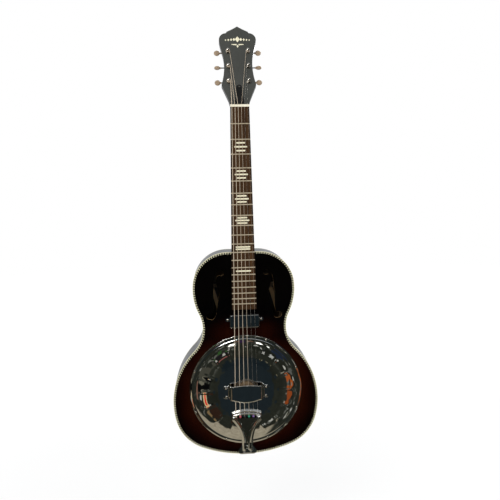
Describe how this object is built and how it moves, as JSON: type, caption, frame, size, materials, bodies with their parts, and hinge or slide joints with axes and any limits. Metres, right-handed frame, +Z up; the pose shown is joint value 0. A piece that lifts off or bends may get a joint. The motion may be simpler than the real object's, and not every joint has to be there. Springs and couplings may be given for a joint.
{
  "type": "resonator guitar",
  "caption": "Wooden resonator guitar with a domed metal cover plate over one spun cone, trapeze tailpiece, slim pickup, f-holes and geared tuners on a tilted headstock.",
  "frame": {"origin": "middle of the nut's front edge on the playing surface of the fretboard, where a forked hanger holds the neck", "axes": "+Z up along the neck, -Y out of the front towards the listener, +X to the viewer's right"},
  "size_m": [0.3418, 0.1003, 1.0072],
  "materials": {
    "burst_lacquer": "gloss lacquer, dark burst",
    "black_lacquer": "gloss lacquer",
    "cream_binding": "polished",
    "rope_purfling": "diagonal light and dark strips",
    "raw_spruce": "planed",
    "raw_mahogany": "sawn",
    "spun_aluminium": "spun",
    "maple": "oiled",
    "steel": "drawn",
    "chrome": "mirror",
    "nickel": "polished",
    "black_plastic": "polished",
    "neck_lacquer": "satin lacquer",
    "rosewood": "oiled",
    "fret_wire": "polished",
    "cream_inlay": "polished",
    "bone": "polished bone",
    "head_face": "satin lacquer",
    "bronze": "wound",
    "ball_brass": "turned",
    "dark_steel": "blackened",
    "cream_button": "moulded"
  },
  "bodies": {
    "guitar": {"soundboard": "burst_lacquer", "back": "black_lacquer", "side_left": "black_lacquer", "side_right": "black_lacquer", "binding_top": "cream_binding", "purfling": "rope_purfling", "binding_back": "cream_binding", "linings": "raw_spruce", "neck_block": "raw_mahogany", "end_block": "raw_mahogany", "braces": "raw_spruce", "soundwell": "raw_mahogany", "cone": "spun_aluminium", "biscuit": "maple", "saddle": "maple", "cone_screw": "steel", "coverplate": "chrome", "coverplate_screws": "nickel", "handrest": "chrome", "handrest_screws": "nickel", "tailpiece": "chrome", "tail_bracket": "chrome", "tailpiece_pin": "steel", "end_pin_jack": "nickel", "jack_nut": "nickel", "pickup_cover": "chrome", "pickup_core": "black_plastic", "pickup_screws": "nickel", "neck": "neck_lacquer", "fretboard": "rosewood", "frets": "fret_wire", "inlays": "cream_inlay", "nut": "bone", "head_veneer": "head_face", "truss_rod": "steel", "truss_cover": "black_plastic", "truss_screw": "nickel", "wound_strings": "bronze", "plain_strings": "steel", "ball_ends": "ball_brass", "tuner_housings": "nickel", "tuner_bushings": "nickel"},
    "key_1": {"tuner_1_worm": "dark_steel", "tuner_1_button": "cream_button"},
    "post_1": {"tuner_1_post": "nickel"},
    "key_2": {"tuner_2_worm": "dark_steel", "tuner_2_button": "cream_button"},
    "post_2": {"tuner_2_post": "nickel"},
    "key_3": {"tuner_3_worm": "dark_steel", "tuner_3_button": "cream_button"},
    "post_3": {"tuner_3_post": "nickel"},
    "key_4": {"tuner_4_worm": "dark_steel", "tuner_4_button": "cream_button"},
    "post_4": {"tuner_4_post": "nickel"},
    "key_5": {"tuner_5_worm": "dark_steel", "tuner_5_button": "cream_button"},
    "post_5": {"tuner_5_post": "nickel"},
    "key_6": {"tuner_6_worm": "dark_steel", "tuner_6_button": "cream_button"},
    "post_6": {"tuner_6_post": "nickel"}
  },
  "joints": [
    {"name": "key_1_turn", "type": "hinge", "parent": "guitar", "child": "key_1", "pos_m": [-0.0223, 0.03505, 0.05873], "axis": [1, 0, 0], "continuous": true},
    {"name": "post_1_turn", "type": "hinge", "parent": "guitar", "child": "post_1", "pos_m": [-0.0223, 0.03358, 0.05281], "axis": [0, -0.9703, 0.2419], "continuous": true},
    {"name": "key_2_turn", "type": "hinge", "parent": "guitar", "child": "key_2", "pos_m": [-0.0223, 0.04364, 0.09318], "axis": [1, 0, 0], "continuous": true},
    {"name": "post_2_turn", "type": "hinge", "parent": "guitar", "child": "post_2", "pos_m": [-0.0223, 0.04217, 0.08726], "axis": [0, -0.9703, 0.2419], "continuous": true},
    {"name": "key_3_turn", "type": "hinge", "parent": "guitar", "child": "key_3", "pos_m": [-0.0223, 0.05223, 0.12762], "axis": [1, 0, 0], "continuous": true},
    {"name": "post_3_turn", "type": "hinge", "parent": "guitar", "child": "post_3", "pos_m": [-0.0223, 0.05076, 0.1217], "axis": [0, -0.9703, 0.2419], "continuous": true},
    {"name": "key_4_turn", "type": "hinge", "parent": "guitar", "child": "key_4", "pos_m": [0.0223, 0.05223, 0.12762], "axis": [1, 0, 0], "continuous": true},
    {"name": "post_4_turn", "type": "hinge", "parent": "guitar", "child": "post_4", "pos_m": [0.0223, 0.05076, 0.1217], "axis": [0, -0.9703, 0.2419], "continuous": true},
    {"name": "key_5_turn", "type": "hinge", "parent": "guitar", "child": "key_5", "pos_m": [0.0223, 0.04364, 0.09318], "axis": [1, 0, 0], "continuous": true},
    {"name": "post_5_turn", "type": "hinge", "parent": "guitar", "child": "post_5", "pos_m": [0.0223, 0.04217, 0.08726], "axis": [0, -0.9703, 0.2419], "continuous": true},
    {"name": "key_6_turn", "type": "hinge", "parent": "guitar", "child": "key_6", "pos_m": [0.0223, 0.03505, 0.05873], "axis": [1, 0, 0], "continuous": true},
    {"name": "post_6_turn", "type": "hinge", "parent": "guitar", "child": "post_6", "pos_m": [0.0223, 0.03358, 0.05281], "axis": [0, -0.9703, 0.2419], "continuous": true}
  ],
  "couplings": [
    {"joint": "post_1_turn", "follows": "key_1_turn", "ratio": 0.071429},
    {"joint": "post_2_turn", "follows": "key_2_turn", "ratio": 0.071429},
    {"joint": "post_3_turn", "follows": "key_3_turn", "ratio": 0.071429},
    {"joint": "post_4_turn", "follows": "key_4_turn", "ratio": 0.071429},
    {"joint": "post_5_turn", "follows": "key_5_turn", "ratio": 0.071429},
    {"joint": "post_6_turn", "follows": "key_6_turn", "ratio": 0.071429}
  ]
}
